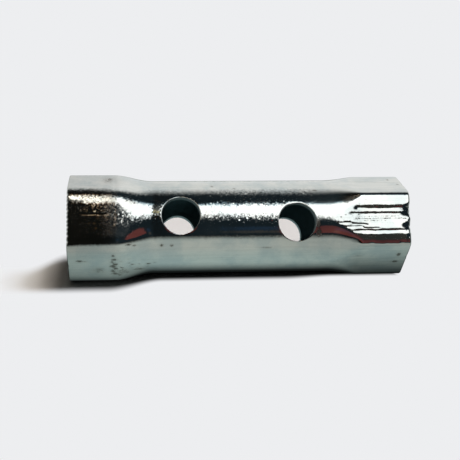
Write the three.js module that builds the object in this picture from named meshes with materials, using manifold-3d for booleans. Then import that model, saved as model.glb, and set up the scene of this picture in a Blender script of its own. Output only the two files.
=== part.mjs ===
// Tubular socket wrench for spark plugs: one length of steel tube with a hexagon socket formed in each end
// and two cross holes, through both walls, that take a loose turning bar.
// Millimetres, +Z up. The wrench lies along X on one flat of its large hexagon, the small end towards +X,
// and the origin is under its middle, on the surface that it lies on.
import * as THREE from "three";
import { mergeVertices } from "three/addons/utils/BufferGeometryUtils.js";
import Module from "manifold-3d";

// Driving dimensions
const overallLength = 87.2;
const tubeDiameter = 24;
const wall = 2;

// The plug hexagons that the two sockets turn, across their flats, and the play around them
const largePlug = 21;
const smallPlug = 19;
const plugClearance = 0.3;

// Each socket: the straight hexagon, the neck that eases it into the round tube, and its corner radii.
// The large end is stretched over a punch, which thins its corners and leaves them round outside. The small
// neck leaves the round slowly and meets its socket at a slope, which its ease makes a little gentler.
const largeDepth = 11.5;
const largeNeck = 10;
const largeOuterCorner = 5.8;
const largeInnerCorner = 0.5;
const smallDepth = 12.7;
const smallNeck = 8.6;
const smallNeckEase = 0.5;
const smallOuterCorner = 2.4;
const smallInnerCorner = 0.5;

// The edges of the two rims: broken outside, and opened inside so that a plug finds its way in
const rimBreak = 0.4;
const leadIn = 0.7;

// The turning bar and its play, and the cross hole nearer to each end: its distance from that end, the angle
// in degrees at which it rises towards the front, and how far its axis passes above the middle of the tube
const barDiameter = 9.3;
const barClearance = 0.3;
const largeHoleFromEnd = 28.3;
const largeHoleRise = 35;
const largeHoleOffset = 0.3;
const smallHoleFromEnd = 29.5;
const smallHoleRise = 31.5;
const smallHoleOffset = -0.9;

// How finely the surfaces are cut into facets
const aroundTube = 72;
const aroundHole = 40;
const alongNeck = 8;
const crowding = 0.72;

// A closed mesh as a solid that can be cut, and a solid as a mesh again
const wasm = await Module();
wasm.setup();

function solidFrom(geometry) {
  const bare = geometry.clone();
  bare.deleteAttribute("normal");
  bare.deleteAttribute("uv");
  const merged = mergeVertices(bare, 1e-4);
  return new wasm.Manifold(
    new wasm.Mesh({
      numProp: 3,
      vertProperties: new Float32Array(merged.getAttribute("position").array),
      triVerts: new Uint32Array(merged.index.array),
    }),
  );
}

function geometryFrom(solid) {
  const mesh = solid.getMesh();
  const geometry = new THREE.BufferGeometry();
  geometry.setAttribute("position", new THREE.BufferAttribute(mesh.vertProperties, 3));
  geometry.setIndex(new THREE.BufferAttribute(mesh.triVerts, 1));
  const faceted = geometry.toNonIndexed();
  faceted.computeVertexNormals();
  return faceted;
}

// Hexagon section
// Angles run from straight up towards the front. Flats face up and down, so corners are 30 degrees off them.
const sides = 6;
const sector = (2 * Math.PI) / sides;
const halfSector = sector / 2;

// The polar radius of a hexagon with rounded corners, from half its width across flats
function hexagonRadius(angle, apothem, corner) {
  const turn = ((angle % sector) + sector) % sector;
  const fromFlat = Math.min(turn, sector - turn);
  const fromCorner = halfSector - fromFlat;
  const flatEnd = Math.atan(((apothem - corner) * Math.tan(halfSector)) / apothem);
  if (fromFlat <= flatEnd) {
    return apothem / Math.cos(fromFlat);
  }
  const centre = (apothem - corner) / Math.cos(halfSector);
  const side = centre * Math.sin(fromCorner);
  return centre * Math.cos(fromCorner) + Math.sqrt(corner * corner - side * side);
}

// Even turns moved towards the six corners, where the section bends most
function crowdToCorners(turn) {
  return turn + (crowding * Math.sin(sides * turn)) / sides;
}

// Stations along the tube
// The share of each hexagon in the section: 1 in its socket, easing to 0 down its neck
const half = overallLength / 2;

function largeShare(along) {
  return 1 - THREE.MathUtils.smoothstep(along, largeDepth - half, largeDepth + largeNeck - half);
}

function smallShare(along) {
  const start = half - smallDepth - smallNeck;
  const run = THREE.MathUtils.clamp((along - start) / smallNeck, 0, 1);
  return run * run * (1 + smallNeckEase * (1 - run));
}

// The two faces of the wall: the radius of the round tube, and each hexagon's apothem and corner radius
const largeSocketApothem = (largePlug + plugClearance) / 2;
const smallSocketApothem = (smallPlug + plugClearance) / 2;
const outerFace = {
  round: tubeDiameter / 2,
  largeApothem: largeSocketApothem + wall,
  largeCorner: largeOuterCorner,
  smallApothem: smallSocketApothem + wall,
  smallCorner: smallOuterCorner,
};
const innerFace = {
  round: tubeDiameter / 2 - wall,
  largeApothem: largeSocketApothem,
  largeCorner: largeInnerCorner,
  smallApothem: smallSocketApothem,
  smallCorner: smallInnerCorner,
};

// The radius of a face at a place along the tube, in one direction. Down the small neck the apothem and the
// corner run from the round to the socket, so that each flat grows out of the round as a tongue.
function faceRadius(face, along, angle) {
  const towardsSmall = smallShare(along);
  const apothem = THREE.MathUtils.lerp(face.round, face.smallApothem, towardsSmall);
  const corner = THREE.MathUtils.lerp(face.round, face.smallCorner, towardsSmall);
  const small = hexagonRadius(angle, apothem, Math.min(corner, apothem));
  const large = hexagonRadius(angle, face.largeApothem, face.largeCorner);
  return small + largeShare(along) * (large - face.round);
}

// The wall's section as a closed line of stations: out along the outer face, and back along the inner one.
// Step is what a broken edge takes off the outer radius, or what the lead-in adds to the inner one.
function wallStations() {
  const neckSteps = [];
  for (let i = 0; i <= alongNeck; i += 1) {
    neckSteps.push(i / alongNeck);
  }
  const largeNeckAlong = neckSteps.map((share) => largeDepth - half + share * largeNeck);
  const smallNeckAlong = neckSteps.map((share) => half - smallDepth - smallNeck + share * smallNeck);
  const necks = [...largeNeckAlong, ...smallNeckAlong];
  const outer = [-half + rimBreak, ...necks, half - rimBreak];
  const inner = [-half + leadIn, ...necks, half - leadIn];
  const stations = [
    { face: outerFace, along: -half, step: -rimBreak },
    ...outer.map((along) => ({ face: outerFace, along, step: 0 })),
    { face: outerFace, along: half, step: -rimBreak },
    { face: innerFace, along: half, step: leadIn },
    ...inner.reverse().map((along) => ({ face: innerFace, along, step: 0 })),
    { face: innerFace, along: -half, step: leadIn },
  ];
  return [...stations, stations[0]];
}

// Wrench tube
// The section is turned into a tube, each ring of which is then pressed to its own shape, and the bar holes
// are drilled through it. Its axis is as high as the widest of its three sections is deep.
const axisHeight = Math.max(outerFace.round, outerFace.largeApothem, outerFace.smallApothem);

function pressedTube() {
  const stations = wallStations();
  const section = stations.map(({ face, along, step }) => new THREE.Vector2(face.round + step, along));
  const tube = new THREE.LatheGeometry(section, aroundTube);
  const position = tube.getAttribute("position");
  for (let i = 0; i < position.count; i += 1) {
    const { face, along, step } = stations[i % stations.length];
    const turn = (Math.floor(i / stations.length) % aroundTube) * ((2 * Math.PI) / aroundTube);
    const angle = crowdToCorners(turn);
    const radius = faceRadius(face, along, angle) + step;
    position.setXYZ(i, radius * Math.sin(angle), along, radius * Math.cos(angle));
  }
  return tube.rotateZ(-Math.PI / 2);
}

function barHole(along, rise, offset) {
  const radius = (barDiameter + barClearance) / 2;
  const angle = THREE.MathUtils.degToRad(rise);
  const reach = 4 * axisHeight;
  const drill = new THREE.CylinderGeometry(radius, radius, reach, aroundHole);
  drill.rotateX(-angle);
  drill.translate(along, offset * Math.sin(angle), offset * Math.cos(angle));
  return drill;
}

const drills = [
  barHole(largeHoleFromEnd - half, largeHoleRise, largeHoleOffset),
  barHole(half - smallHoleFromEnd, smallHoleRise, smallHoleOffset),
];
const drilled = drills.reduce(
  (solid, drill) => solid.subtract(solidFrom(drill)),
  solidFrom(pressedTube()),
);

const zincPlate = new THREE.MeshStandardMaterial({ color: 0xb4bcba, roughness: 0.22, metalness: 1 });
const wrenchTube = new THREE.Mesh(geometryFrom(drilled), zincPlate);
wrenchTube.name = "wrench_tube";
wrenchTube.position.z = axisHeight;

const wrench = new THREE.Group();
wrench.add(wrenchTube);

export default wrench;
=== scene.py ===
import bpy
import numpy as np
from mathutils import Matrix, Vector


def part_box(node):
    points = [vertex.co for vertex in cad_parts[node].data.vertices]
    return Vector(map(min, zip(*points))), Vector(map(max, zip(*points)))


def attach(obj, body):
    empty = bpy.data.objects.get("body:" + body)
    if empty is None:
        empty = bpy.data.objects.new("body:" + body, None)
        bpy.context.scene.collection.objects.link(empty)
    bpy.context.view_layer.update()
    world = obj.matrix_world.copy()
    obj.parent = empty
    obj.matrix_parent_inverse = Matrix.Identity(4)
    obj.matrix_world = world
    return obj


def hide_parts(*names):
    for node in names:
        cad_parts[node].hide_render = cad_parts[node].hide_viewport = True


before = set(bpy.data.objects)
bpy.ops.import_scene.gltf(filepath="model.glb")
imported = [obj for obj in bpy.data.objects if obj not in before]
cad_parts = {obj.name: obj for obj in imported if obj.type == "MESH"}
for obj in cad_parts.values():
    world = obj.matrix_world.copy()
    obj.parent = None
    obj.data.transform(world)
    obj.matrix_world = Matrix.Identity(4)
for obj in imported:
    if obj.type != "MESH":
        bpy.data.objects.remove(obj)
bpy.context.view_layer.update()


# The tube
# One length of thin steel tube, drawn to size and cropped to length, carries everything else:
# both sockets and the bar holes are worked into it. Lengths are in millimetres up to the mesh.
MM = 0.001
FULL_TURN = 2 * np.pi
TUBE_RADIUS = 12.0
BORE_RADIUS = 10.0
SPREAD_SAMPLES = 6001
tube_low, tube_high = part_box("wrench_tube")
HALF_LENGTH = tube_high.x / MM
AXIS_HEIGHT = (tube_low.z + tube_high.z) / 2 / MM


def spread(start, end, count, weight):
    """Places from start to end, set so that the weight's running sum grows by equal shares between
    neighbours."""
    fine = np.linspace(start, end, SPREAD_SAMPLES)
    dense = weight(fine)
    running = np.concatenate([[0.0], np.cumsum((dense[1:] + dense[:-1]) / 2)])
    return np.interp(np.linspace(0.0, running[-1], count), running, fine)


def bell(value, middle, width):
    """A bump of height one: e to the minus square of the distance from the middle over the width."""
    return np.exp(-(((value - middle) / width) ** 2))


def smooth_step(value, start, end):
    """Zero before start, one after end, and three t squared less two t cubed between them."""
    t = np.clip((value - start) / (end - start), 0.0, 1.0)
    return t * t * (3.0 - 2.0 * t)


def place(x, radius, turn):
    """A point at a radius from the axis, turned from straight up towards the front by the angle, in
    metres."""
    return np.stack(
        [
            np.broadcast_to(x, np.shape(turn)) * MM,
            -radius * np.sin(turn) * MM,
            (AXIS_HEIGHT + radius * np.cos(turn)) * MM,
        ],
        axis=-1,
    )


# The sockets
# Each end of the tube is squeezed between a hexagonal plug and a die, the left end larger than the
# tube and the right end smaller, with a neck between hexagon and round.
SIXTH = np.pi / 3
LARGE_APOTHEM = AXIS_HEIGHT
LARGE_CORNER = 5.8
LARGE_END = 11.5
LARGE_NECK = 10.0
SMALL_APOTHEM = 11.65
SMALL_CORNER = 2.4
SMALL_END = 12.7
SMALL_NECK = 8.6
SMALL_EASE = 0.5
WALL = 2.0
INNER_CORNER = 0.5


def hexagon_radius(turn, apothem, corner):
    """Distance from the axis to a hexagon with rounded corners: the apothem over the cosine of the turn
    from the nearest flat, and past the flat's end the far side of the corner's circle."""
    from_flat = np.abs((turn + SIXTH / 2) % SIXTH - SIXTH / 2)
    flat_end = np.arctan((apothem - corner) * np.tan(SIXTH / 2) / apothem)
    centre = (apothem - corner) / np.cos(SIXTH / 2)
    from_corner = SIXTH / 2 - from_flat
    on_flat = apothem / np.cos(from_flat)
    inside = np.maximum(corner**2 - (centre * np.sin(from_corner)) ** 2, 0.0)
    on_corner = centre * np.cos(from_corner) + np.sqrt(inside)
    return np.where(from_flat <= flat_end, on_flat, on_corner)


def large_share(x):
    """How much of the large hexagon a section has: one at its end, none past its neck."""
    return 1.0 - smooth_step(x, LARGE_END - HALF_LENGTH, LARGE_END + LARGE_NECK - HALF_LENGTH)


def neck_run(x):
    """How far along the small neck a section lies, from none at the round tube to one at the socket."""
    return np.clip((x - HALF_LENGTH + SMALL_END + SMALL_NECK) / SMALL_NECK, 0.0, 1.0)


def small_section(x, turn, round_radius, apothem, corner):
    """The small end's radius: a hexagon whose apothem and corner run from the round tube's own to the
    socket's with about the square of the way along the neck, so that its flats grow out of the round
    as tongues."""
    run = neck_run(x)
    share = run**2 * (1.0 + SMALL_EASE * (1.0 - run))
    grown_apothem = round_radius + share * (apothem - round_radius)
    grown_corner = round_radius + share * (corner - round_radius)
    return hexagon_radius(turn, grown_apothem, np.minimum(grown_corner, grown_apothem))


def pressed_radius(x, turn, round_radius, large, small):
    """A section's radius: the small end's section, or the round, plus the large socket's share of the
    difference between its own hexagon and the round."""
    swell = hexagon_radius(turn, *large) - round_radius
    return small_section(x, turn, round_radius, *small) + large_share(x) * swell


def inner_radius(x, turn):
    """The bore's radius at a section: round in the middle, a sharper hexagon in each socket."""
    large = (LARGE_APOTHEM - WALL, INNER_CORNER)
    small = (SMALL_APOTHEM - WALL, INNER_CORNER)
    return pressed_radius(x, turn, BORE_RADIUS, large, small)


# Forming marks
# The die drags along the sockets' front flats and leaves score lines, its shoulder leaves a crease
# where the large neck starts, and it rolls the small front flat over at its lower edge. Both flats
# are worn and filed at their rims.
FRONT_FLAT = np.radians(60.0)
FLAT_REACH = 0.6
SCORE_SWING = 0.05
SCORE_UNEVEN = 0.3
SCORE_UNEVEN_PACE = 1.7
SCORE_UNEVEN_SEED = 3.0
SCORE_START_FADE = 1.5
SCORE_END_FADE = 0.6
SCORES = [
    # across the flat from its middle, start and end from the rim, depth, upper and lower slope width
    (-2.70, 15.0, 0.6, 0.100, 0.50, 0.30),
    (-2.45, 12.6, 5.0, 0.030, 0.16, 0.14),
    (-3.30, 11.0, 6.0, 0.012, 0.18, 0.15),
    (-1.28, 16.6, 0.6, 0.055, 0.36, 0.26),
    (-1.02, 13.2, 8.4, 0.022, 0.15, 0.15),
    (-0.45, 14.8, 3.0, 0.014, 0.22, 0.20),
    (0.10, 15.6, 1.5, 0.018, 0.20, 0.20),
    (0.62, 13.4, 7.0, 0.016, 0.22, 0.30),
    (1.45, 16.6, 11.8, 0.040, 0.26, 0.18),
    (1.05, 19.4, 15.8, 0.040, 0.24, 0.16),
    (2.05, 17.4, 13.0, 0.045, 0.26, 0.16),
    (2.45, 13.6, 8.5, 0.022, 0.20, 0.20),
    (3.12, 15.6, 1.2, 0.055, 0.30, 0.22),
    (3.62, 13.6, 6.0, 0.020, 0.18, 0.18),
]
LARGE_SCRATCHES = [
    # the same for the large socket
    (-1.45, 10.8, 4.0, 0.018, 0.35, 0.16),
    (-2.30, 9.2, 5.5, 0.010, 0.25, 0.14),
    (0.60, 8.0, 3.0, 0.008, 0.25, 0.14),
]
RIM_WEAR = [
    # across the flat from its middle, half width, reach from the rim, depth
    (-2.60, 0.70, 3.4, 0.50),
    (-1.15, 0.75, 3.4, 0.46),
    (-1.90, 0.30, 1.3, 0.22),
    (2.10, 0.75, 3.0, 0.46),
    (3.05, 0.40, 2.6, 0.22),
    (0.55, 0.30, 1.1, 0.16),
    (4.60, 0.50, 1.2, 0.16),
]
WEAR_LEAN = 0.2
FILED_REACH = 5.5
FILED_DEPTH = 0.22
FILED_ACROSS = (-5.4, -3.4, 3.0, 6.5)
ROLL_LINE = 3.75
ROLL_LINE_SWING = 0.18
ROLL_LINE_PACE = 1.3
ROLL_LINE_SEED = 1.0
ROLL_LINE_SLOPE = 0.02
ROLL_LINE_LEVEL = 30.0
ROLL_SOFTNESS = 0.15
ROLL_SLOPE = 0.075
ROLL_DEGREES = (60.0, 66.0, 88.0, 100.0)
ROLL_RUN = (0.5, 1.0)
LIP_HEIGHT = 0.16
LIP_DEGREES = 90.5
LIP_WIDTH = 3.2
LIP_UNEVEN = 0.4
LIP_PACE = 1.1
LIP_SEED = 2.0
CREASE_PLACE = LARGE_END - HALF_LENGTH
CREASE_DEPTH = 0.035
CREASE_WIDTH = 0.45


def wander(value, seed):
    """A slow irregular swing between about minus one and one: three sines whose lengths don't divide."""
    slow = np.sin(0.61 * value + seed)
    middling = np.sin(1.37 * value + 2.3 * seed)
    quick = 0.7 * np.sin(2.93 * value - seed)
    return (slow + middling + quick) / 2.0


def window(value, on, full, fading, off):
    """One from full to fading and zero before on and after off, with a smooth step on either side."""
    return smooth_step(value, on, full) * (1.0 - smooth_step(value, fading, off))


def across_front(apothem, turn):
    """How far across a front flat a turn lies from its middle: the apothem times the tangent of the
    angle between them, held to the flat and a little past it."""
    return apothem * np.tan(np.clip(turn - FRONT_FLAT, -FLAT_REACH, FLAT_REACH))


def grooves(rows, apothem, from_rim, turn):
    """How deep score lines cut into a socket's front flat: each is a groove with a wide upper and a
    narrow lower slope, faded at both ends, that swings a little and varies in depth."""
    across = across_front(apothem, turn)
    depth = 0.0 * from_rim * turn
    for place_across, start, end, deep, upper, lower in rows:
        side = across - place_across - SCORE_SWING * wander(from_rim, place_across)
        groove = np.where(side < 0, bell(side, 0.0, upper), bell(side, 0.0, lower))
        run = window(from_rim, end - SCORE_END_FADE, end, start - SCORE_START_FADE, start)
        swing = wander(SCORE_UNEVEN_PACE * from_rim, SCORE_UNEVEN_SEED * place_across)
        depth = depth + deep * (1.0 + SCORE_UNEVEN * swing) * groove * run
    return depth


def scores_depth(x, turn):
    """The score lines of both sockets together."""
    small = grooves(SCORES, SMALL_APOTHEM, HALF_LENGTH - x, turn)
    return small + grooves(LARGE_SCRATCHES, LARGE_APOTHEM, HALF_LENGTH + x, turn)


def wear_depth(x, turn):
    """How far the sockets' front flats are worn down at their rims: patches with a bell's shape across,
    and one filed slope on the large one, which deepen with the square of the way from their start to
    the rim."""
    across = across_front(SMALL_APOTHEM, turn)
    depth = 0.0 * x * turn
    for place_across, half, reach, deep in RIM_WEAR:
        run = np.clip(1.0 - (HALF_LENGTH - x) / reach, 0.0, 1.0)
        patch = bell(across, place_across - WEAR_LEAN * run, half * (0.5 + 0.5 * run))
        depth = depth + deep * run**2 * patch
    filed = np.clip(1.0 - (HALF_LENGTH + x) / FILED_REACH, 0.0, 1.0) ** 2
    return depth + FILED_DEPTH * filed * window(across, *FILED_ACROSS)


def roll_depth(x, turn):
    """How far the small socket's front flat rolls over towards its lower edge: a slope that sets in
    softly past a line which swings along the flat, less the lip of pushed metal along the corner."""
    degrees = np.degrees(turn)
    line = ROLL_LINE + ROLL_LINE_SLOPE * (x - ROLL_LINE_LEVEL)
    line = line + ROLL_LINE_SWING * wander(ROLL_LINE_PACE * x, ROLL_LINE_SEED)
    past = across_front(SMALL_APOTHEM, turn) - line
    soft = ROLL_SOFTNESS * np.logaddexp(0.0, past / ROLL_SOFTNESS)
    rolled = ROLL_SLOPE * soft * window(degrees, *ROLL_DEGREES)
    uneven = 1.0 + LIP_UNEVEN * wander(LIP_PACE * x, LIP_SEED)
    lip = LIP_HEIGHT * bell(degrees, LIP_DEGREES, LIP_WIDTH) * uneven
    return (rolled - lip) * smooth_step(neck_run(x), *ROLL_RUN)


def crease_depth(x, turn):
    """The die's shoulder mark round the large neck: a narrow bell across, fainter here and there."""
    swing = 0.35 * np.sin(2.0 * turn + 0.6) + 0.2 * np.sin(5.0 * turn)
    strength = 0.6 + 0.4 * np.sin(3.0 * turn + 1.0)
    return CREASE_DEPTH * bell(x, CREASE_PLACE + swing, CREASE_WIDTH) * strength


def outer_radius(x, turn):
    """The skin's radius at a section: the pressed hexagon or round, less the forming marks."""
    large = (LARGE_APOTHEM, LARGE_CORNER)
    small = (SMALL_APOTHEM, SMALL_CORNER)
    bare = pressed_radius(x, turn, TUBE_RADIUS, large, small)
    return bare - scores_depth(x, turn) - wear_depth(x, turn) - roll_depth(x, turn) - crease_depth(x, turn)


# The bar holes
# Two pairs of cross holes, drilled right through the tube at slightly different angles, take a bar
# to turn the wrench with; their edges are lightly broken, the one by the small socket more at its top.
HOLE_RADIUS = 4.8
HOLE_BREAK = 0.18
HOLES = [
    # place along the axis, rise of the drill, offset of its line from the axis, extra break at the top
    (28.3 - HALF_LENGTH, np.radians(35.0), 0.3, 0.05),
    (HALF_LENGTH - 29.5, np.radians(31.5), -0.9, 0.50),
]
EXTRA_HEADING = np.radians(103.0)
EXTRA_WIDTH = np.radians(34.0)


def hole_turn(aside, radius, rise, front):
    """The turn at which a line beside the drill's own meets a round of that radius, on the front or the
    back."""
    lean = np.arcsin(aside / radius)
    return np.pi / 2 - rise - lean if front else 3 * np.pi / 2 - rise + lean


# The rims
# The tube is cropped and only roughly deburred, so each rim is a little wavy and has small nicks
# where it was struck; inside, a short slope leads a hexagon into the socket.
RIM_BREAK = 0.35
LEAD_IN = 0.7
RIM_NICKS = {
    # turn in degrees, width round the rim, depth
    1.0: [
        (43.5, 0.55, 0.50), (47.0, 0.35, 0.20), (51.5, 0.65, 0.55), (57.0, 0.35, 0.25),
        (65.5, 0.50, 0.30), (71.0, 0.60, 0.50), (76.5, 0.40, 0.30), (112.0, 0.50, 0.15),
        (2.0, 0.8, 0.10), (160.0, 0.6, 0.2), (214.0, 0.7, 0.25), (251.0, 0.5, 0.3),
        (290.0, 0.6, 0.2), (331.0, 0.5, 0.25),
    ],
    -1.0: [
        (31.0, 0.30, 0.40), (35.5, 0.25, 0.30), (39.5, 0.30, 0.40), (44.0, 0.25, 0.28),
        (48.5, 0.30, 0.42), (53.0, 0.25, 0.30), (58.0, 0.30, 0.40), (63.0, 0.25, 0.34),
        (67.5, 0.30, 0.40), (72.0, 0.25, 0.30), (77.0, 0.30, 0.36), (83.0, 0.30, 0.30),
        (118.0, 0.5, 0.14), (170.0, 0.6, 0.2), (225.0, 0.6, 0.22), (262.0, 0.5, 0.18),
        (305.0, 0.6, 0.2), (342.0, 0.5, 0.15),
    ],
}
# the height of each rim's slow wave and the turn of its highest place
RIM_WAVE = {1.0: (0.20, 0.35), -1.0: (0.10, 2.6)}
# how much of a nick's depth comes off the length, the edge's length and the edge's height
NICK_SHORT = 0.3
NICK_BROKEN = 0.9
NICK_SUNK = 0.5


def round_from(turn, degrees):
    """How far round the tube a turn lies from a place, the shorter way: the radius times the angle."""
    return TUBE_RADIUS * ((turn - np.radians(degrees) + np.pi) % FULL_TURN - np.pi)


def rim_shape(turn, end):
    """What a rim loses: how far its face falls short of the full length, and how long and how high its
    broken edge is, from a slow wave round the tube and a bell at each nick."""
    size, phase = RIM_WAVE[end]
    wave = size * (1.0 - np.cos(turn - phase)) / 2.0
    nick = 0.0 * turn
    for degrees, width, deep in RIM_NICKS[end]:
        nick = nick + deep * bell(round_from(turn, degrees), 0.0, width)
    return wave + NICK_SHORT * nick, RIM_BREAK + NICK_BROKEN * nick, RIM_BREAK + NICK_SUNK * nick


# The skin as one closed mesh
# Outside, rim, bore and the other rim run round in one grid of stations and turns; where a bar hole
# goes through, a block of the grid is left out and a collar is carried from the outside to the bore.
TURNS = 236
OUTSIDE_STATIONS = 226
INSIDE_STATIONS = 62
ROUND_RINGS = 5
FACE_RINGS = 3
LEAD_RINGS = 3
RIM_REACH = 4.0
BRIGHT_TURNS = np.radians((24.0, 32.0, 88.0, 96.0))
LOWER_TURNS = np.radians((80.0, 90.0, 145.0, 155.0))
CORNER_WIDTH = np.radians(5.0)
BLOCK_MARGIN = 1.7
BLOCK_REACH = HOLE_RADIUS + BLOCK_MARGIN
BLOCK_TURN = np.radians(6.0)
COLLAR_SKIN_RINGS = 8
COLLAR_EDGE_RINGS = 5
COLLAR_CROWDING = 0.6
COLLAR_WALL_STEPS = (0.1, 0.5, 0.9, 1.0)
COLLAR_BORE_STEPS = (0.12, 0.45, 0.75)
# how far each ring of a collar counts as bore, from the skin inwards
COLLAR_BORE_SHARES = [0.0] * 11 + [0.3, 0.6, 0.9] + [1.0] * 6
SHARP_ANGLE = np.radians(40.0)


def turn_weight(turn):
    """How closely the turns are set: most on the bright front, more below it and at the six corners."""
    corner = bell(turn % SIXTH - SIXTH / 2, 0.0, CORNER_WIDTH)
    return 0.7 + 1.3 * window(turn, *BRIGHT_TURNS) + 0.3 * window(turn, *LOWER_TURNS) + 0.9 * corner


def station_weight(x):
    """How closely the outside's stations are set: evenly, and about twice as close at the rims."""
    return 1.0 + 1.2 * bell(x, -HALF_LENGTH, 1.5) + 1.2 * bell(x, HALF_LENGTH, 2.0)


def by_a_hole(x):
    """Whether a section lies in one of the blocks round the bar holes."""
    return np.any([np.abs(x - hole[0]) < BLOCK_REACH for hole in HOLES], axis=0)


turns = spread(0.0, FULL_TURN, TURNS + 1, turn_weight)[:-1]
around = turns[None, :]
outside_x = spread(RIM_BREAK - HALF_LENGTH, HALF_LENGTH - RIM_BREAK, OUTSIDE_STATIONS, station_weight)
rough_x = np.linspace(LEAD_IN - HALF_LENGTH, HALF_LENGTH - LEAD_IN, INSIDE_STATIONS)
inside_x = np.sort(np.concatenate([outside_x[by_a_hole(outside_x)], rough_x[~by_a_hole(rough_x)]]))


def shortened(x, end):
    """Stations near a rim, drawn back by what that rim loses at each turn."""
    short, broken, _ = rim_shape(around, end)
    near = smooth_step(end * x, HALF_LENGTH - RIM_REACH, HALF_LENGTH - RIM_BREAK)
    return x - end * near * (short + broken - RIM_BREAK)


def rim(end):
    """One rim's stations from outside to bore: a quarter of an ellipse, a flat face and a short slope."""
    short, broken, sunk = rim_shape(around, end)
    face = HALF_LENGTH - short
    skin = outer_radius(end * (face - broken), around)
    bore_edge = inner_radius(end * (HALF_LENGTH - LEAD_IN), around)
    sweep = np.linspace(0.0, np.pi / 2, ROUND_RINGS + 1)[1:, None]
    x_round = face - broken * (1.0 - np.sin(sweep))
    r_round = skin - sunk * (1.0 - np.cos(sweep))
    t_face = np.linspace(0.0, 1.0, FACE_RINGS + 1)[1:, None]
    r_face = (skin - sunk) * (1.0 - t_face) + (bore_edge + LEAD_IN) * t_face
    x_face = face + 0.0 * r_face
    t_lead = np.linspace(0.0, 1.0, LEAD_RINGS + 1)[1:-1, None]
    r_lead = bore_edge + LEAD_IN * (1.0 - t_lead)
    x_lead = face * (1.0 - t_lead) + (HALF_LENGTH - LEAD_IN) * t_lead
    x = np.concatenate([x_round, x_face, x_lead])
    r = np.concatenate([r_round, r_face, r_lead])
    return place(end * x, r, np.broadcast_to(turns, r.shape))


skin_x = shortened(shortened(outside_x[:, None], 1.0), -1.0)
outside = place(skin_x, outer_radius(skin_x, around), np.broadcast_to(turns, skin_x.shape))
inside_r = inner_radius(inside_x[:, None], around)
inside = place(inside_x[:, None], inside_r, np.broadcast_to(turns, inside_r.shape))
right_rim = rim(1.0)
left_rim = rim(-1.0)
stations = np.concatenate([outside, right_rim, inside[::-1], left_rim[::-1]])
count = len(stations)
number = np.arange(count * TURNS).reshape(count, TURNS)
first_inside = len(outside_x) + len(right_rim)
past_inside = first_inside + len(inside_x)
outside_number = number[:len(outside_x)]
inside_number = number[first_inside:past_inside][::-1]
whole = np.ones((count, TURNS), bool)


def block_loop(rows, columns):
    """Round a block's edge: along its first column, its last row, its last column back and its first
    row back."""
    between = len(columns) - 2
    first_column = np.full(len(rows), columns[0])
    last_column = np.full(len(rows), columns[-1])
    loop_rows = [rows, np.full(between, rows[-1]), rows[::-1], np.full(between, rows[0])]
    loop_columns = [first_column, columns[1:-1], last_column, columns[-2:0:-1]]
    return np.concatenate(loop_rows), np.concatenate(loop_columns)


def collar(along, rise, offset, extra, front, edge_x, edge_turn):
    """The rings of one hole's collar from the block's edge on the skin to its edge on the bore: over the
    skin to the lip, over the broken edge in a quarter of a circle, down the drilled wall, and out along
    the bore; each ring's points keep their heading round the drill."""
    side = 1.0 if front else -1.0
    lean = np.sin(edge_turn - (np.pi / 2 - rise + (0.0 if front else np.pi)))
    edge_b = -side * TUBE_RADIUS * lean
    bore_b = -side * BORE_RADIUS * lean
    heading = np.arctan2(edge_b - offset, edge_x - along)
    ray_a, ray_b = np.cos(heading), np.sin(heading)
    drill = np.array([0.0, -np.cos(rise), np.sin(rise)]) * side * MM
    broken = HOLE_BREAK + extra * bell(heading, EXTRA_HEADING, EXTRA_WIDTH)

    def on_skin(reach):
        """Points of the skin at a distance from the drill's line."""
        turn = hole_turn(offset + reach * ray_b, TUBE_RADIUS, rise, front)
        x = along + reach * ray_a
        return place(x, outer_radius(x, turn), turn)

    def on_bore(a, b):
        """Points of the bore beside the drill's line, along the tube and across it."""
        turn = hole_turn(b, BORE_RADIUS, rise, front)
        return place(a, inner_radius(a, turn), turn)

    edge_reach = np.hypot(edge_x - along, edge_b - offset)
    to_lip = HOLE_RADIUS + broken - edge_reach
    over_skin = [
        on_skin(edge_reach + to_lip * s * (1.0 + COLLAR_CROWDING * (1.0 - s)))
        for s in np.linspace(0.0, 1.0, COLLAR_SKIN_RINGS + 1)[1:]
    ]
    over_edge = [
        on_skin(HOLE_RADIUS + broken * (1.0 - np.cos(sweep))) - HOLE_BREAK * (1.0 - np.sin(sweep)) * drill
        for sweep in np.linspace(np.pi / 2, 0.0, COLLAR_EDGE_RINGS + 1)[1:]
    ]
    mouth = over_edge[-1]
    wall_a = along + HOLE_RADIUS * ray_a
    wall_b = offset + HOLE_RADIUS * ray_b
    throat = on_bore(wall_a, wall_b)
    down_wall = [mouth + (throat - mouth) * s for s in COLLAR_WALL_STEPS]
    along_bore = [
        on_bore(wall_a + (edge_x - wall_a) * s, wall_b + (bore_b - wall_b) * s) for s in COLLAR_BORE_STEPS
    ]
    return over_skin + over_edge + down_wall + along_bore


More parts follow.
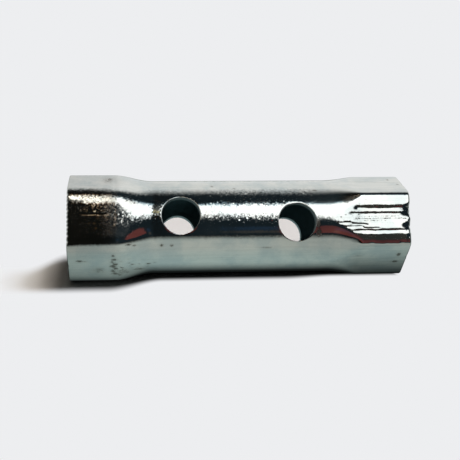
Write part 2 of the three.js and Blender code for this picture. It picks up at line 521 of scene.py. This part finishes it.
bore_share = np.zeros((count, TURNS))
bore_share[first_inside - LEAD_RINGS + 1:past_inside + LEAD_RINGS - 1] = 1.0
points = [stations.reshape(-1, 3)]
shares = [bore_share.reshape(-1)]
quads = []
total = count * TURNS
for along, rise, offset, extra in HOLES:
    for front in (True, False):
        sides = [hole_turn(offset + b, BORE_RADIUS, rise, front) for b in (-HOLE_RADIUS, HOLE_RADIUS)]
        first_column = np.searchsorted(turns, min(sides) - BLOCK_TURN)
        last_column = np.searchsorted(turns, max(sides) + BLOCK_TURN)
        columns = np.arange(first_column, last_column + 1)
        rows_out = np.nonzero(np.abs(outside_x - along) < BLOCK_REACH)[0]
        rows_in = np.searchsorted(inside_x, outside_x[rows_out])
        whole[rows_out[0]:rows_out[-1], first_column:last_column] = False
        whole[past_inside - 1 - rows_in[-1]:past_inside - 1 - rows_in[0], first_column:last_column] = False
        loop_row, loop_column = block_loop(np.arange(len(rows_out)), columns)
        edge_x = outside_x[rows_out][loop_row]
        rings = collar(along, rise, offset, extra, front, edge_x, turns[loop_column])
        fresh = total + np.arange(len(rings) * len(loop_row)).reshape(len(rings), len(loop_row))
        total += fresh.size
        points.extend(rings)
        shares.append(np.repeat(COLLAR_BORE_SHARES, len(loop_row)))
        strip = np.concatenate([
            outside_number[rows_out[loop_row], loop_column][None],
            fresh,
            inside_number[rows_in[loop_row], loop_column][None],
        ])
        after = np.roll(strip, -1, axis=1)
        quads.append(np.stack([strip[:-1], strip[1:], after[1:], after[:-1]], axis=-1).reshape(-1, 4))

below = np.roll(number, -1, axis=0)
grid = np.stack([number, np.roll(number, -1, axis=1), np.roll(below, -1, axis=1), below], axis=-1)
quads.append(grid[whole])
points = np.concatenate(points)
quads = np.concatenate(quads)
shares = np.concatenate(shares)

wrench_mesh = bpy.data.meshes.new("wrench_skin")
wrench_mesh.from_pydata(points.tolist(), [], quads.tolist())
wrench_mesh.polygons.foreach_set("use_smooth", np.ones(len(quads), bool))
wrench_mesh.set_sharp_from_angle(angle=SHARP_ANGLE)
wrench_mesh.attributes.new("bore", "FLOAT", "POINT").data.foreach_set("value", shares.astype(np.float32))
wrench = bpy.data.objects.new("wrench_skin", wrench_mesh)
bpy.context.scene.collection.objects.link(wrench)
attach(wrench, "root")
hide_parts("wrench_tube")


# Grime
# Dirt and flash rust sit in small pits and in the crease of the large neck; it shows as dark specks,
# thickest where the tube was gripped.
SMUDGES = [
    # place along the axis, turn in degrees, half length along and round, strength
    (-32.2, 100.0, 0.5, 0.5, 0.8),
    (-32.0, 106.0, 0.9, 0.5, 0.9),
    (-32.5, 111.0, 0.5, 0.6, 0.85),
    (-31.8, 115.0, 0.7, 0.5, 1.0),
    (-32.3, 119.0, 1.0, 0.7, 0.95),
    (-31.7, 123.5, 0.7, 0.5, 1.0),
    (-32.4, 128.0, 0.8, 0.7, 0.8),
    (-31.9, 133.0, 1.1, 0.6, 0.8),
    (-33.1, -7.0, 0.9, 1.3, 0.75),
    (-34.2, 3.0, 0.6, 0.6, 0.5),
    (-40.6, 108.5, 0.9, 0.45, 0.95),
    (-39.3, 109.0, 0.6, 0.3, 0.7),
    (-28.4, 87.0, 0.8, 0.3, 0.9),
    (-27.0, 88.5, 0.5, 0.3, 0.8),
    (-20.2, 90.7, 0.5, 0.45, 0.95),
    (-17.7, 90.8, 0.4, 0.4, 0.9),
    (-23.5, 118.0, 0.7, 0.35, 0.85),
    (-26.0, 128.0, 1.6, 0.5, 0.7),
    (-30.0, 130.0, 2.6, 1.4, 0.55),
    (-36.0, 126.0, 2.0, 1.4, 0.5),
    (-7.1, 9.2, 0.4, 0.35, 0.95),
    (-1.5, 15.0, 0.5, 0.3, 0.6),
    (19.3, 19.2, 0.6, 0.35, 0.9),
    (6.3, 95.0, 1.7, 0.22, 0.75),
    (41.0, 108.4, 0.6, 0.8, 1.0),
    (40.6, 123.4, 0.9, 0.5, 1.0),
    (42.1, 2.4, 0.4, 0.4, 0.8),
    (30.5, 110.0, 1.2, 0.3, 0.5),
    (19.5, 66.0, 0.55, 1.4, 1.0),
    (19.6, 76.0, 0.7, 1.1, 1.0),
    (-32.1, 116.0, 1.5, 3.4, 0.38),
    (-33.4, -4.0, 1.9, 2.4, 0.55),
]
MOST_BORE = 0.1
chance = np.random.default_rng(21)


def scatter(amount, *ranges):
    """That many smudges at random: column by column, even draws from the column's range."""
    return np.stack([chance.uniform(low, high, amount) for low, high in ranges], axis=-1)


# the same columns as above, on the hidden sides and along the large neck
stray_smudges = scatter(46, (-42.0, 42.0), (150.0, 350.0), (0.3, 1.2), (0.25, 0.8), (0.45, 0.9))
neck_smudges = scatter(20, (-31.0, -21.0), (106.0, 138.0), (0.25, 0.7), (0.15, 0.35), (0.45, 0.85))
skin_turn = np.arctan2(-points[:, 1], points[:, 2] - AXIS_HEIGHT * MM)
skin_along = points[:, 0] / MM
grime = np.zeros(len(points))
for along, degrees, half_along, half_round, strength in [*SMUDGES, *stray_smudges, *neck_smudges]:
    spot = bell(skin_along, along, half_along) * bell(round_from(skin_turn, degrees), 0.0, half_round)
    grime = np.maximum(grime, strength * spot)
grime = grime * (shares < MOST_BORE)
wrench_mesh.attributes.new("grime", "FLOAT", "POINT").data.foreach_set("value", grime.astype(np.float32))


# The zinc plate
# The finished wrench is dipped in a bright zinc bath; the thin coat is a cool silver of small crystals
# that lean each its own way, with a fine orange peel, and it is thinner and duller down the bore.
class Sock:
    """An output of a shader tree's node: arithmetic on it adds Math nodes, and node() adds any other
    kind."""

    def __init__(self, tree, output=None):
        self.tree = tree
        self.output = output

    def node(self, kind, settings=None, inputs=None, output=0):
        """Adds a node: its settings first, then its sockets' values or links."""
        made = self.tree.nodes.new(kind)
        for name, value in (settings or {}).items():
            setattr(made, name, value)
        for name, value in (inputs or {}).items():
            if isinstance(value, Sock):
                self.tree.links.new(value.output, made.inputs[name])
            else:
                made.inputs[name].default_value = value
        return Sock(self.tree, made.outputs[output] if made.outputs else None)

    def other(self, output):
        """Another output of the same node."""
        return Sock(self.tree, self.output.node.outputs[output])

    def math(self, operation, first, second):
        """A Math node on two values."""
        return self.node("ShaderNodeMath", {"operation": operation}, {0: first, 1: second})

    def __add__(self, other):
        return self.math("ADD", self, other)

    def __radd__(self, other):
        return self.math("ADD", other, self)

    def __sub__(self, other):
        return self.math("SUBTRACT", self, other)

    def __rsub__(self, other):
        return self.math("SUBTRACT", other, self)

    def __mul__(self, other):
        return self.math("MULTIPLY", self, other)

    def __rmul__(self, other):
        return self.math("MULTIPLY", other, self)

    def __truediv__(self, other):
        return self.math("DIVIDE", self, other)

    def __rtruediv__(self, other):
        return self.math("DIVIDE", other, self)


def new_tree(owner):
    """An owner's node tree, emptied, as the start of its expressions."""
    owner.use_nodes = True
    owner.node_tree.nodes.clear()
    return Sock(owner.node_tree)


def soft_step(value, start, end, low=0.0, high=1.0):
    """A soft step from low to high as the value goes from start to end."""
    return value.node(
        "ShaderNodeMapRange", {"interpolation_type": "SMOOTHSTEP"},
        {"Value": value, "From Min": start, "From Max": end, "To Min": low, "To Max": high},
    )


def soft_window(value, on, full, fading, off):
    """One from full to fading and zero before on and after off, with a soft step on either side."""
    return soft_step(value, on, full) * soft_step(value, fading, off, 1.0, 0.0)


def mix_colour(share, first, second, blend="MIX"):
    """The first colour at a share of zero and the second, or its product with the first, at one."""
    settings = {"data_type": "RGBA", "blend_type": blend}
    return share.node("ShaderNodeMix", settings, {0: share, 6: first, 7: second}, 2)


def scale_vector(vector, size):
    """A vector, or a colour, times a number."""
    return vector.node("ShaderNodeVectorMath", {"operation": "SCALE"}, {0: vector, "Scale": size})


COOL_ZINC = (0.57, 0.62, 0.61, 1.0)
WARM_ZINC = (0.72, 0.73, 0.69, 1.0)
STREAK = (0.72, 0.74, 0.72, 1.0)
STAIN = (0.27, 0.25, 0.21, 1.0)
DIRT = (0.13, 0.12, 0.10, 1.0)
BORE_NEAR = (0.30, 0.32, 0.32, 1.0)
BORE_DEEP = (0.16, 0.25, 0.27, 1.0)
# steps over the height or along the tube: start and end in metres, and where given low and high
PEEL_UP = (0.0165, 0.0215, 0.25, 1.0)
PEEL_ALONG = (0.024, 0.030, 1.0, 0.22)
TUBE_LEAN_UP = (0.0168, 0.0184, 0.014, 0.12)
TUBE_LEAN_TOP = (0.0200, 0.0215, 1.0, 0.6)
SOCKET_LEAN_UP = (0.0195, 0.0212, 0.03, 0.09)
SOCKET_TO_TUBE = (-0.0375, -0.028)
LEAN_ALONG = (0.0165, 0.0205, 1.0, 0.25)
STRAY_ALONG = (-0.036, -0.024, 0.7, 1.5)
STREAK_ALONG = (0.026, 0.032, 0.18, 0.42)
DEEP_ALONG = (0.022, 0.036, 1.0, 0.0)
BY_LEFT_HOLE = (-0.030, -0.022, -0.011, -0.003)
BY_CREASE = (-0.0365, -0.0324, -0.0320, -0.0300)
# steps over a texture's own value
STRAY_CELLS = (0.86, 0.90)
CLOUD_TONE = (0.35, 0.65)
CLOUD_HAZE = (0.3, 0.7)
STREAK_GRAIN = (0.42, 0.72)
DIRT_SPECKS = (0.74, 1.16)
# heights of the relief in metres, and the share by which a crystal leans along, across and up
PEEL_HEIGHT = 0.000003
WAVE_HEIGHT = 0.000012
DRAWN_HEIGHT = 0.000003
PIT_DEPTH = 0.000018
CRYSTAL_LEAN = (0.35, 1.0, 1.0)
CRYSTALS_PER_METRE = 3000.0
# shares of the smudges in the specks and the colour, and what the left bar hole's surroundings lose
GRIME_IN_SPECKS = 0.8
STAIN_SHARE = 0.55
DIRT_SHARE = 0.75
PEEL_LOST = 0.7
LEAN_LOST = 0.5
# the roughness of the bright plate, and what the rest adds to it
PLATE_ROUGH = 0.05
PEEL_ROUGH = 0.045
CREASE_ROUGH = 0.06
HAZE_ROUGH = 0.03
DIRT_ROUGH = 0.3
BORE_ROUGH = 0.4
zinc = bpy.data.materials.new("zinc_plate")
coat = new_tree(zinc)
where = coat.node("ShaderNodeTexCoord", output="Object")
along_x = coat.node("ShaderNodeSeparateXYZ", {}, {"Vector": where}, "X")
above = along_x.other("Z")
bore = coat.node("ShaderNodeAttribute", {"attribute_name": "bore"}, output="Fac")
grime_share = coat.node("ShaderNodeAttribute", {"attribute_name": "grime"}, output="Fac")


def grain(scale, detail=2.0, roughness=0.5, stretch=(1.0, 1.0, 1.0), shift=0.0):
    """Noise over the surface, with its features stretched by axis and all of it moved by the shift."""
    mapping = {"Vector": where, "Scale": stretch, "Location": (shift, shift, shift)}
    moved = coat.node("ShaderNodeMapping", {}, mapping)
    noise = {"Vector": moved, "Scale": scale, "Detail": detail, "Roughness": roughness}
    return coat.node("ShaderNodeTexNoise", {}, noise)


peel = grain(4800.0, detail=1.0)
wave = grain(420.0)
drawn = grain(1500.0, stretch=(0.05, 1.0, 1.0))
cloud = grain(150.0, detail=4.0, roughness=0.6)
speck = grain(2300.0, detail=3.0, roughness=0.65, shift=3.0)
dirt = soft_step(speck + grime_share * GRIME_IN_SPECKS, *DIRT_SPECKS)
by_hole = soft_window(along_x, *BY_LEFT_HOLE)
peel_size = soft_step(above, *PEEL_UP) * soft_step(along_x, *PEEL_ALONG) * (1.0 - by_hole * PEEL_LOST)
height = peel * peel_size * PEEL_HEIGHT + wave * WAVE_HEIGHT + drawn * DRAWN_HEIGHT - dirt * PIT_DEPTH
bump = coat.node("ShaderNodeBump", {}, {"Strength": 1.0, "Distance": 1.0, "Height": height})

crystal = coat.node("ShaderNodeTexVoronoi", {}, {"Vector": where, "Scale": CRYSTALS_PER_METRE}, "Color")
tube_lean = soft_step(above, *TUBE_LEAN_UP) * soft_step(above, *TUBE_LEAN_TOP)
socket_lean = soft_step(above, *SOCKET_LEAN_UP)
lean_size = socket_lean + (tube_lean - socket_lean) * soft_step(along_x, *SOCKET_TO_TUBE)
lean_size = lean_size * soft_step(along_x, *LEAN_ALONG) * (1.0 - by_hole * LEAN_LOST)
stray = soft_step(coat.node("ShaderNodeSeparateColor", {}, {"Color": crystal}, "Red"), *STRAY_CELLS)
lean_size = lean_size * (1.0 + stray * soft_step(along_x, *STRAY_ALONG))
lean_way = coat.node("ShaderNodeVectorMath", {"operation": "SUBTRACT"}, {0: crystal, 1: (0.5, 0.5, 0.5)})
lean_way = coat.node("ShaderNodeVectorMath", {"operation": "MULTIPLY"}, {0: lean_way, 1: CRYSTAL_LEAN})
lean = scale_vector(lean_way, lean_size)
leaning = coat.node("ShaderNodeVectorMath", {"operation": "ADD"}, {0: bump, 1: lean})
skin_normal = coat.node("ShaderNodeVectorMath", {"operation": "NORMALIZE"}, {0: leaning})

clouded = mix_colour(soft_step(cloud, *CLOUD_TONE), COOL_ZINC, WARM_ZINC)
streak_share = soft_step(drawn, *STREAK_GRAIN) * soft_step(along_x, *STREAK_ALONG)
streaked = mix_colour(streak_share, clouded, STREAK, "MULTIPLY")
stained = mix_colour(grime_share * STAIN_SHARE, streaked, STAIN)
dirty = mix_colour(dirt * DIRT_SHARE, stained, DIRT)
from_middle = coat.node("ShaderNodeMath", {"operation": "ABSOLUTE"}, {0: along_x})
bore_tone = mix_colour(soft_step(from_middle, *DEEP_ALONG), BORE_NEAR, BORE_DEEP)
zinc_tone = mix_colour(bore, dirty, bore_tone)
crease = soft_window(along_x, *BY_CREASE)
dull = peel_size * PEEL_ROUGH + crease * CREASE_ROUGH + soft_step(cloud, *CLOUD_HAZE) * HAZE_ROUGH
rough = PLATE_ROUGH + dull + dirt * DIRT_ROUGH + bore * BORE_ROUGH
zinc_shader = coat.node(
    "ShaderNodeBsdfPrincipled", {},
    {"Base Color": zinc_tone, "Metallic": 1.0, "Roughness": rough, "Normal": skin_normal},
)
coat.node("ShaderNodeOutputMaterial", {}, {"Surface": zinc_shader})
wrench_mesh.materials.append(zinc)


# The floor
# A wide sheet of plain pale board, matt and seamless, on which the wrench lies. It keeps the wrench's
# shadow close by, deepened by painted contact shade and a painted shadow behind, and shows its plain colour
# further off; in bright metal it shows a painted shade, darker and cooler.
FLOOR_SPAN = 4.0
FLOOR_COLOUR = (0.847, 0.855, 0.871, 1.0)
PAINTED_SHADOW_COLOUR = (0.72, 0.69, 0.68, 1.0)
PAINTED_SHADE_NEAR = (0.40, 0.50, 0.49, 1.0)
PAINTED_SHADE_FAR = (0.475, 0.51, 0.485, 1.0)
# what bright metal sees of it: a painted shade, with a painted shadow under the wrench, darker far in front
# and by both ends, and cooler close by
NEAR_SPAN = 0.012
NEAREST = 0.010
NEAR_DARK = -0.02
NEAR_BRIGHT = 0.18
NEAR_BRIGHT_LEFT = 0.04
FOOT_SHADE = (0.0045, 0.0128, 0.02, 1.0)
FOOT_RIGHT = (0.022, 0.034, 0.0, 0.0016)
DIM_RIGHT = (0.005, 0.030, 1.0, 0.84)
DIM_LEFT = (-0.046, -0.022, 0.74, 1.0)
LEFT_END = (-0.042, -0.028, 1.0, 0.0)
MIRRORED_FADE = (0.010, 0.034)
# a warmer patch of shadow painted into the board's colour behind the wrench
BEHIND_Y = (0.004, 0.018, 0.036, 0.062)
BEHIND_X = (-0.036, -0.015, 0.019, 0.040)
# the painted contact shade, darkened into the board's colour: how far it reaches, and the light where the
# wrench closes the floor in, with what the open share adds and what its square adds
CONTACT_REACH = 0.013
CONTACT_SAMPLES = 12
CLOSED_LIGHT = 0.05
OPEN_LIGHT = 0.15
OPEN_LIGHT_SQUARED = 0.8
# where the shadow gives way to the plain colour: in front, behind, to the right and far off
SHADOW_FRONT = (-0.034, -0.0195, 0.0085, 0.0040)
SHADOW_SOFT = (-0.034, -0.0195, 0.0050, 0.0032)
SHADOW_RIGHT = (0.012, 0.026, 0.0, 0.0008)
SHADOW_BACK = (-0.056, -0.0445, -0.004, 0.006)
SHADOW_BACK_SOFT = 0.008
SHADOW_BACK_END = (-0.0445, -0.0425, 1.0, 0.0)
SHADOW_RIGHT_END = (0.0415, 0.0440)
SHADOW_FAR_END = (0.045, 0.072)
floor_mesh = bpy.data.meshes.new("floor")
floor_corners = np.array([[-1, -1, 0], [1, -1, 0], [1, 1, 0], [-1, 1, 0]]) * FLOOR_SPAN
floor_mesh.from_pydata(floor_corners.tolist(), [], [(0, 1, 2, 3)])
floor = bpy.data.objects.new("floor", floor_mesh)
bpy.context.scene.collection.objects.link(floor)
board = bpy.data.materials.new("floor_board")
sheet = new_tree(board)
spot_place = sheet.node("ShaderNodeTexCoord", output="Object")
spot_x = sheet.node("ShaderNodeSeparateXYZ", {}, {"Vector": spot_place}, "X")
spot_y = spot_x.other("Y")
in_front = 0.0 - spot_y
aside = sheet.node("ShaderNodeMath", {"operation": "ABSOLUTE"}, {0: spot_y})
from_lens = sheet.node("ShaderNodeLightPath", output="Is Camera Ray")
shiny_ray = from_lens.other("Is Glossy Ray")

nearness = NEAR_SPAN / sheet.math("MAXIMUM", in_front, NEAREST)
near_bright = NEAR_BRIGHT + soft_step(spot_x, *LEFT_END) * NEAR_BRIGHT_LEFT
painted_far_shade = soft_step(nearness, NEAR_DARK, near_bright)
painted_foot_shadow = soft_step(aside - soft_step(spot_x, *FOOT_RIGHT), *FOOT_SHADE)
painted_end_shade = soft_step(spot_x, *DIM_RIGHT) * soft_step(spot_x, *DIM_LEFT)
# bright metal sees a painted shade here, not the board's own colour: dark and cool by the wrench, with a
# painted shadow at its foot
painted_mirror_shade = mix_colour(soft_step(aside, *MIRRORED_FADE), PAINTED_SHADE_NEAR, PAINTED_SHADE_FAR)
painted_mirror_shade = scale_vector(painted_mirror_shade, painted_far_shade * painted_foot_shadow * painted_end_shade)
plain_or_painted_shade = mix_colour(shiny_ray, FLOOR_COLOUR, painted_mirror_shade)
bright = sheet.node("ShaderNodeEmission", {}, {"Color": plain_or_painted_shade, "Strength": 1.0})

# a painted shadow: the board's colour is darkened and warmed behind the wrench
painted_shadow_behind = soft_window(spot_y, *BEHIND_Y) * soft_window(spot_x, *BEHIND_X)
board_and_painted_shadow = mix_colour(painted_shadow_behind, FLOOR_COLOUR, PAINTED_SHADOW_COLOUR)
contact = {"Distance": CONTACT_REACH}
open_share = sheet.node("ShaderNodeAmbientOcclusion", {"samples": CONTACT_SAMPLES}, contact, "AO")
# painted contact shade: ambient occlusion darkens the board's colour where the wrench closes it in
painted_contact_shade = CLOSED_LIGHT + open_share * (OPEN_LIGHT + open_share * OPEN_LIGHT_SQUARED)
matt = sheet.node("ShaderNodeBsdfDiffuse", {}, {"Color": scale_vector(board_and_painted_shadow, painted_contact_shade)})

by_right = soft_step(spot_x, *SHADOW_RIGHT)
reach = soft_step(spot_x, *SHADOW_FRONT) - by_right
soften = soft_step(spot_x, *SHADOW_SOFT) - by_right
washed = soft_step((in_front - reach) / soften, 0.0, 1.0)
past_back = soft_step(spot_y - soft_step(spot_x, *SHADOW_BACK), 0.0, SHADOW_BACK_SOFT)
washed = sheet.math("MAXIMUM", washed, past_back * soft_step(spot_x, *SHADOW_BACK_END))
washed = sheet.math("MAXIMUM", washed, soft_step(spot_x, *SHADOW_RIGHT_END))
washed = sheet.math("MAXIMUM", washed, soft_step(spot_y, *SHADOW_FAR_END))
shown = sheet.node("ShaderNodeMixShader", {}, {0: washed * from_lens + shiny_ray, 1: matt, 2: bright})
sheet.node("ShaderNodeOutputMaterial", {}, {"Surface": shown})
floor_mesh.materials.append(board)


# The light
# A large soft box hangs in front, high and a little to the right, with a golden lamp to its left, pale
# walls behind and at both sides, and a few dim cards in front; they show only in bright metal. A strip
# light over the right end throws the wrench's shadow.
DEGREES = 180.0 / np.pi
# steps in degrees: pitch goes from the front over the top to the back, tilt from the middle to the right
BOX_LOW = (2.0, 6.0, 42.3, 46.3)
BOX_LOW_STEPS = [(7.0, 10.5, 0.0, -4.0), (12.0, 14.3, 0.0, -6.8)]
BOX_LOW_EDGE = (-6.0, 11.0)
BOX_LOW_SHARPER = (10.5, 13.0, 1.0, 0.12)
BOX_LEFT = (46.0, 60.0, 3.6, 2.6)
BOX_LEFT_EDGE = (0.0, 0.9)
BOX_RIGHT = (20.0, 26.0, 1.0, 0.0)
BOX_TOP = (73.0, 82.0, 1.0, 0.0)
BOX_GLOW = (12.0, 14.0, 1.9, 1.6)
BOX_TOP_COLOUR = (0.5, 0.8, 1.0)
LAMP_LEFT = (-10.0, -6.0)
LAMP_RIGHT = (66.0, 74.0, -0.9, -1.9)
LAMP_RIGHT_EDGE = (0.0, 0.8, 1.0, 0.0)
LAMP_LOW = 42.0
LAMP_LOW_LEFT = (-4.4, -3.3, 24.0, 0.0)
LAMP_LOW_EDGE = (-0.5, 8.0)
LAMP_HIGH = 77.0
LAMP_HIGH_LEFT = (-3.6, -2.7, 13.0, 0.0)
LAMP_HIGH_EDGE = (-4.0, 3.0, 1.0, 0.0)
LAMP_RIM_COLOUR = (2.5, 1.2, 0.3)
LAMP_CORE_COLOUR = (0.0, 1.2, 1.9)
TIP_TILT = (0.6, 0.9, 1.1, 1.24)
TIP_PITCH = (53.0, 57.0, 60.0, 65.0)
TIP_COLOUR = (1.7, 1.4, 0.75)
WALL_LOW = (105.0, 133.0)
WALL_LOW_LEFT = (-3.5, 0.8, -17.0, 0.0)
WALL_GLOW = (-6.0, 6.0, 0.66, 0.86)
SIDE_WALL_RIGHT = (44.0, 66.0)
SIDE_WALL_LEFT = (-60.0, -34.0, 1.0, 0.0)
SIDE_WALL_GLOW = 0.4
CARD_TILT = (5.0, 7.0, 8.8, 9.8)
BLUE_CARD_PITCH = (9.0, 15.0, 18.0, 23.0)
BLUE_CARD_COLOUR = (0.006, 0.015, 0.034)
GREY_CARD_PITCH = (3.0, 7.0, 9.0, 13.0)
GREY_CARD_COLOUR = (0.036, 0.028, 0.022)
ROOM_COLOUR = (0.006, 0.006, 0.005)
COOL_ROOM = (-2.0, 5.0)
COOL_ROOM_COLOUR = (0.006, 0.013, 0.019)
SHADE_LIGHT = (0.05, 0.04, 0.0272, 1.0)
BACK_UNDER = (-90.01, -90.0, 360.0, 0.0)
world = bpy.data.worlds.new("studio")
bpy.context.scene.world = world
sky = new_tree(world)
aim = sky.node("ShaderNodeTexCoord", output="Generated")
aim_x = sky.node("ShaderNodeSeparateXYZ", {}, {"Vector": aim}, "X")
aim_y = aim_x.other("Y")
aim_z = aim_x.other("Z")
tilt = sky.node("ShaderNodeMath", {"operation": "ARCSINE"}, {0: aim_x}) * DEGREES
pitch = sky.math("ARCTAN2", aim_z, 0.0 - aim_y) * DEGREES
# a pitch below -90 is the back of the room under the horizon, so it goes on from the top instead
pitch = pitch + soft_step(pitch, *BACK_UNDER)

box_low = soft_step(tilt, *BOX_LOW)
for low_step in BOX_LOW_STEPS:
    box_low = box_low + soft_step(tilt, *low_step)
box_bottom = soft_step((pitch - box_low) / soft_step(tilt, *BOX_LOW_SHARPER), *BOX_LOW_EDGE)
box_sides = soft_step(tilt - soft_step(pitch, *BOX_LEFT), *BOX_LEFT_EDGE) * soft_step(tilt, *BOX_RIGHT)
box_top = soft_step(pitch, *BOX_TOP)
soft_box = box_sides * box_bottom * box_top * soft_step(tilt, *BOX_GLOW)
lamp_low = LAMP_LOW + soft_step(tilt, *LAMP_LOW_LEFT)
lamp_high = LAMP_HIGH + soft_step(tilt, *LAMP_HIGH_LEFT)
lamp_sides = soft_step(tilt, *LAMP_LEFT) * soft_step(tilt - soft_step(pitch, *LAMP_RIGHT), *LAMP_RIGHT_EDGE)
lamp_height = soft_step(pitch - lamp_low, *LAMP_LOW_EDGE) * soft_step(pitch - lamp_high, *LAMP_HIGH_EDGE)
golden_lamp = lamp_sides * lamp_height
lamp_tip = soft_window(tilt, *TIP_TILT) * soft_window(pitch, *TIP_PITCH)
back_wall = soft_step(pitch + soft_step(tilt, *WALL_LOW_LEFT), *WALL_LOW) * soft_step(tilt, *WALL_GLOW)
side_walls = soft_step(tilt, *SIDE_WALL_RIGHT) + soft_step(tilt, *SIDE_WALL_LEFT)
walls = back_wall + side_walls * SIDE_WALL_GLOW
by_cards = soft_window(tilt, *CARD_TILT)
blue_card = by_cards * soft_window(pitch, *BLUE_CARD_PITCH)
grey_card = by_cards * soft_window(pitch, *GREY_CARD_PITCH)
cool = soft_step(tilt, *COOL_ROOM)


def room_light(channel):
    """The room's light in one channel: the sum of its lamps, walls and cards, each times its colour."""
    top = BOX_TOP_COLOUR[channel]
    box = soft_box * (top + box_top * (1.0 - top))
    lamp = golden_lamp * (LAMP_RIM_COLOUR[channel] + golden_lamp * LAMP_CORE_COLOUR[channel])
    cards = blue_card * BLUE_CARD_COLOUR[channel] + grey_card * GREY_CARD_COLOUR[channel]
    dark = cool * COOL_ROOM_COLOUR[channel] + ROOM_COLOUR[channel]
    return box + walls + cards + lamp + lamp_tip * TIP_COLOUR[channel] + dark


room = sky.node("ShaderNodeCombineColor", {}, {channel: room_light(channel) for channel in range(3)})
from_camera = sky.node("ShaderNodeLightPath", output="Is Camera Ray")
from_shiny = from_camera.other("Is Glossy Ray")
seen = mix_colour(from_shiny, mix_colour(from_camera, SHADE_LIGHT, FLOOR_COLOUR), room)
glow = sky.node("ShaderNodeBackground", {}, {"Color": seen, "Strength": 1.0})
sky.node("ShaderNodeOutputWorld", {}, {"Surface": glow})


def add_sun(name, towards, share, colour, angle):
    """A sun lamp that shines on matt surfaces only, from a direction, with a soft edge of that angle;
    its share is of the light that makes the floor render as its colour is written."""
    lamp = bpy.data.lights.new(name, "SUN")
    lamp.energy = share * np.pi / Vector(towards).normalized().z
    lamp.color = colour
    lamp.angle = np.radians(angle)
    sun = bpy.data.objects.new(name, lamp)
    sun.rotation_euler = Vector(towards).to_track_quat("Z", "Y").to_euler()
    sun.visible_glossy = False
    bpy.context.scene.collection.objects.link(sun)


# the strip light over the right end, from its far side to the one above the wrench
STRIP = [
    # height in degrees, share, colour
    (60.0, 0.31, (0.86, 1.0, 1.17)),
    (69.0, 0.31, (1.02, 1.0, 0.97)),
    (78.0, 0.31, (1.12, 1.0, 0.86)),
]
STRIP_BACK = 0.08
STRIP_ANGLE = 15.0
for degrees, share, colour in STRIP:
    strip_height = np.radians(degrees)
    strip_towards = (np.cos(strip_height), STRIP_BACK, np.sin(strip_height))
    add_sun(f"strip_light_{degrees:.0f}", strip_towards, share, colour, STRIP_ANGLE)
add_sun("front_light", (0.05, -0.85, 0.50), 0.025, (1.0, 1.0, 1.0), 8.0)


def add_card(name, low, high, glow, colour, cone=180.0):
    """An upright card in front of the wrench, from one corner to the other in millimetres, that only
    bright metal shows; its glow is the light that it sends back, within a cone of that many degrees, and
    its power is that times pi and its area."""
    lamp = bpy.data.lights.new(name, "AREA")
    lamp.shape = "RECTANGLE"
    lamp.size = (high[0] - low[0]) * MM
    lamp.size_y = (high[2] - low[2]) * MM
    lamp.energy = glow * np.pi * lamp.size * lamp.size_y
    lamp.color = colour
    lamp.spread = np.radians(cone)
    card = bpy.data.objects.new(name, lamp)
    card.location = (Vector(low) + Vector(high)) / 2 * MM
    card.rotation_euler = (np.pi / 2, 0.0, 0.0)
    card.visible_camera = False
    card.visible_diffuse = False
    bpy.context.scene.collection.objects.link(card)


WARM_CARD = (1.0, 0.18, 0.12)
BROWN_CARD = (1.0, 0.7, 0.35)
add_card("warm_card_left", (-17.1, -45.0, 21.5), (-10.6, -45.0, 33.0), 0.14, WARM_CARD)
add_card("warm_card_right", (28.0, -111.0, 22.0), (80.0, -111.0, 56.0), 0.032, WARM_CARD, 84.0)
add_card("warm_card_flat", (56.0, -111.0, 56.0), (84.0, -111.0, 64.0), 0.032, WARM_CARD, 84.0)
add_card("brown_card", (56.0, -111.0, 64.0), (84.0, -111.0, 100.0), 0.026, BROWN_CARD)


# The camera
# A long lens looks down at the wrench from the front, from a little left of its middle, and is
# tipped slightly to one side.
CAMERA_PLACE = (-0.02637, -0.21784, 0.08753 + AXIS_HEIGHT * MM)
CAMERA_YAW = np.radians(-6.43)
CAMERA_PITCH = np.radians(-22.0)
CAMERA_ROLL = np.radians(-1.85)
LENS = 70.0
SENSOR_WIDTH = 36.0
camera_data = bpy.data.cameras.new("camera")
camera_data.lens = LENS
camera_data.sensor_width = SENSOR_WIDTH
camera = bpy.data.objects.new("camera", camera_data)
turned = Matrix.Rotation(CAMERA_YAW, 3, "Z") @ Matrix.Rotation(CAMERA_PITCH, 3, "X")
right, ahead, up = (turned @ Matrix.Rotation(CAMERA_ROLL, 3, "Y")).col
camera.matrix_world = Matrix.Translation(CAMERA_PLACE) @ Matrix((right, up, -ahead)).transposed().to_4x4()
bpy.context.scene.collection.objects.link(camera)
bpy.context.scene.camera = camera
bpy.context.scene.view_settings.view_transform = "Standard"
